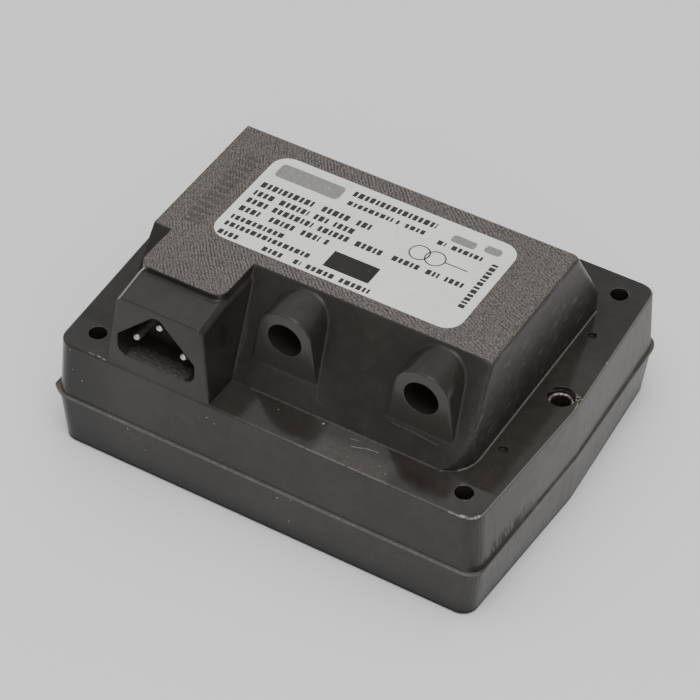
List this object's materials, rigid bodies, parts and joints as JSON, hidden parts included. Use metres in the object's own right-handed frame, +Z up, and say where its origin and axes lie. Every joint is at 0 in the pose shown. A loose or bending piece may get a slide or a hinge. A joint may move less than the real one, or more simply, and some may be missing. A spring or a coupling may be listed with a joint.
{
  "type": "ignition transformer",
  "caption": "Low dark moulded ignition transformer with a flanged base, a recessed mains inlet and arched high voltage sockets on a sloping front.",
  "frame": {"origin": "under the middle of the base, on the face that it stands on", "axes": "+X along the long side towards the earth bush, -Y out of the sockets, +Z up from the base towards the label"},
  "size_m": [0.1208, 0.0952, 0.0565],
  "materials": {
    "body_moulding": "dark thermoset, satin, faintly granular on top",
    "label_film": "pale grey printed film, satin",
    "pin_metal": "bright nickel plate",
    "pin_insert": "dark moulded plastic",
    "contact_brass": "plain brass",
    "bush_metal": "zinc plated",
    "strap_metal": "plain brass strip",
    "core_steel": "varnished laminations",
    "bobbin": "natural nylon",
    "magnet_wire": "enamelled copper wire",
    "coil_tape": "polyester tape",
    "brown_lead": "wire insulation",
    "blue_lead": "wire insulation",
    "green_lead": "wire insulation",
    "ht_lead": "silicone insulation",
    "midpoint_lead": "wire insulation"
  },
  "bodies": {
    "root": {"moulded_body": "body_moulding", "rating_label": "label_film", "line_pin": "pin_metal", "neutral_pin": "pin_metal", "earth_pin": "pin_metal", "pin_insert": "pin_insert", "left_ht_contact": "contact_brass", "right_ht_contact": "contact_brass", "earth_bush": "bush_metal", "earth_strap": "strap_metal", "core_e_stack": "core_steel", "core_i_stack": "core_steel", "left_front_shunt": "core_steel", "left_back_shunt": "core_steel", "right_front_shunt": "core_steel", "right_back_shunt": "core_steel", "primary_bobbin": "bobbin", "primary_winding": "magnet_wire", "primary_wrap": "coil_tape", "left_secondary_bobbin": "bobbin", "left_secondary_winding": "magnet_wire", "left_secondary_wrap": "coil_tape", "right_secondary_bobbin": "bobbin", "right_secondary_winding": "magnet_wire", "right_secondary_wrap": "coil_tape", "line_lead": "brown_lead", "neutral_lead": "blue_lead", "earth_lead": "green_lead", "left_ht_lead": "ht_lead", "right_ht_lead": "ht_lead", "left_midpoint_lead": "midpoint_lead", "right_midpoint_lead": "midpoint_lead"}
  },
  "joints": []
}
